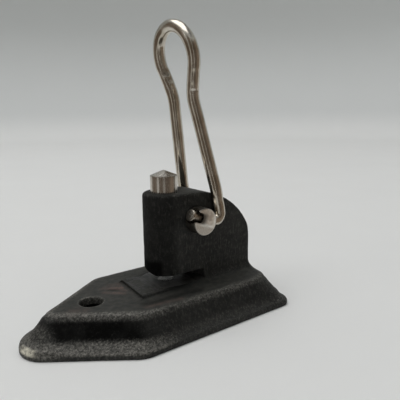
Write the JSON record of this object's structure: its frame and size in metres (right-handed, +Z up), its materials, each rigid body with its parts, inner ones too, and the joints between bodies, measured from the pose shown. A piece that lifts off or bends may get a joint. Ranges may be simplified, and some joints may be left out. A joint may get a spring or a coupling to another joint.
{
  "type": "bench plunger press",
  "caption": "Small bench press: cast-iron base and post, a plunger over an anvil pin in a narrow throat, and a wire lever on a geared cross shaft.",
  "frame": {"origin": "centre of the base's underside, midway along its length and width", "axes": "+Z up along the plunger, -X towards the base's rounded tip, Y across the base along the cross shaft"},
  "size_m": [0.092, 0.0508, 0.1015],
  "materials": {
    "cast_iron": "sand-cast iron with thin worn black japan, bare along the platform's edge and the tip of the rim",
    "turned_steel": "bright turned steel with fine turning lines",
    "tool_steel": "ground and hardened steel",
    "spring_steel": "oiled spring wire",
    "black_steel": "oil-blackened steel",
    "shaft_nickel": "worn nickel plate, dull on the cut ends",
    "wire_nickel": "nickel-plated wire with small tool marks at its bends"
  },
  "bodies": {
    "frame": {"frame_casting": "cast_iron", "anvil_pin": "tool_steel", "stop_screw": "black_steel", "return_spring": "spring_steel"},
    "plunger": {"plunger": "turned_steel", "upper_die": "tool_steel"},
    "lever": {"pinion_shaft": "shaft_nickel", "wire_handle": "wire_nickel"}
  },
  "joints": [
    {"name": "lever_swing", "type": "hinge", "parent": "frame", "child": "lever", "pos_m": [0.01467, 0, 0.0342], "axis": [0, -1, 0], "range_deg": [0, 66], "stiffness_Nm_per_rad": 0.0161, "springref_deg": -81.19},
    {"name": "plunger_slide", "type": "slide", "parent": "frame", "child": "plunger", "axis": [0, 0, -1], "range_m": [0, 0.0049], "deforming": ["return_spring"]}
  ],
  "couplings": [
    {"joint": "plunger_slide", "follows": "lever_swing", "m_per_rad": 0.0042333}
  ]
}
